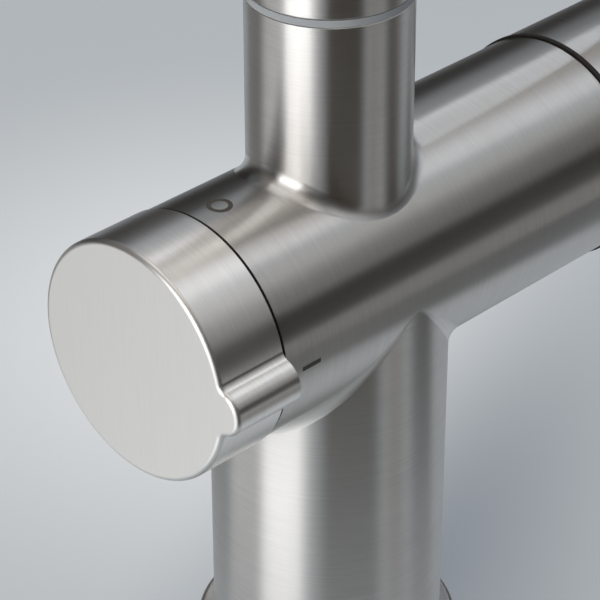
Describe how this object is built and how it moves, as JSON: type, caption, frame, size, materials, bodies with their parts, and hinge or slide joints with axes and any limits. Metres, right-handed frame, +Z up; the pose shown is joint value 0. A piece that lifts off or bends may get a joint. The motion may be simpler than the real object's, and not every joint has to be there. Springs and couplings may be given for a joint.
{
  "type": "kitchen mixer tap",
  "caption": "Cross-body kitchen mixer in brushed steel: upright column, horizontal barrel with a side lever and a quarter-turn appliance valve, and a high swivel spout.",
  "frame": {"origin": "column axis in the plane of the worktop, under the base ring", "axes": "+Z up along the column, +X along the barrel towards the lever, -Y to the front, where the spout points at rest"},
  "size_m": [0.1527, 0.232, 0.448],
  "materials": {
    "brushed_steel": "fine circumferential brushing",
    "satin_steel": "satin",
    "zinc_steel": "plated",
    "brass": "turned",
    "mark_enamel": "etched and filled",
    "rubber": "smooth",
    "black_plastic": "smooth",
    "grey_plastic": "moulded",
    "white_plastic": "moulded",
    "ring_plastic": "smooth",
    "ceramic": "polished ceramic"
  },
  "bodies": {
    "root": {"body": "brushed_steel", "position_marks": "mark_enamel", "base_ring": "brushed_steel", "base_seal": "rubber", "shank": "brass", "rubber_washer": "rubber", "steel_washer": "zinc_steel", "shank_nut": "brass", "cartridge_base": "white_plastic", "cartridge_port_seals": "rubber", "cartridge_housing": "grey_plastic", "fixed_disc": "ceramic", "cartridge_nut": "brass", "cover_ring": "satin_steel", "hub_slide_ring": "black_plastic", "valve_headwork": "brass", "valve_headwork_seal": "rubber", "valve_seat_seal": "rubber", "valve_fixed_disc": "ceramic", "spout_stop_screw": "zinc_steel"},
    "turret": {"cartridge_turret": "white_plastic", "tilt_pin": "zinc_steel"},
    "lever": {"lever_stem": "brass", "lever_hub": "brushed_steel", "lever_rod": "brushed_steel", "hub_grub_screw": "zinc_steel", "hub_plug": "satin_steel"},
    "flow_disc": {"moving_disc": "ceramic", "disc_carrier": "grey_plastic"},
    "knob": {"valve_knob": "brushed_steel", "knob_insert": "white_plastic", "knob_grub_screw": "zinc_steel", "valve_spindle": "brass", "valve_spindle_seals": "rubber", "valve_circlip": "zinc_steel", "valve_moving_disc": "ceramic"},
    "spout": {"spout_tube": "brushed_steel", "spout_nipple": "brass", "spout_ring": "ring_plastic", "spout_bearing": "white_plastic", "spout_seals": "rubber", "outlet_bush": "brass", "aerator_housing": "satin_steel", "aerator_core": "white_plastic", "aerator_screen": "zinc_steel", "aerator_seal": "rubber"}
  },
  "joints": [
    {"name": "spout_swivel", "type": "hinge", "parent": "root", "child": "spout", "pos_m": [0, 0, 0.144], "axis": [0, 0, 1], "range_deg": [-60, 60]},
    {"name": "valve_turn", "type": "hinge", "parent": "root", "child": "knob", "pos_m": [-0.03, 0, 0.09], "axis": [-1, 0, 0], "range_deg": [0, 90]},
    {"name": "lever_turn", "type": "hinge", "parent": "root", "child": "turret", "pos_m": [0.0523, 0, 0.09], "axis": [1, 0, 0], "range_deg": [-45, 45]},
    {"name": "lever_lift", "type": "hinge", "parent": "turret", "child": "lever", "pos_m": [0.0523, 0, 0.09], "axis": [0, 1, 0], "range_deg": [0, 22]},
    {"name": "disc_slide", "type": "slide", "parent": "turret", "child": "flow_disc", "axis": [0, 0, 1], "range_m": [0, 0.00427]}
  ],
  "couplings": [
    {"joint": "disc_slide", "follows": "lever_lift", "m_per_rad": 0.011063}
  ]
}
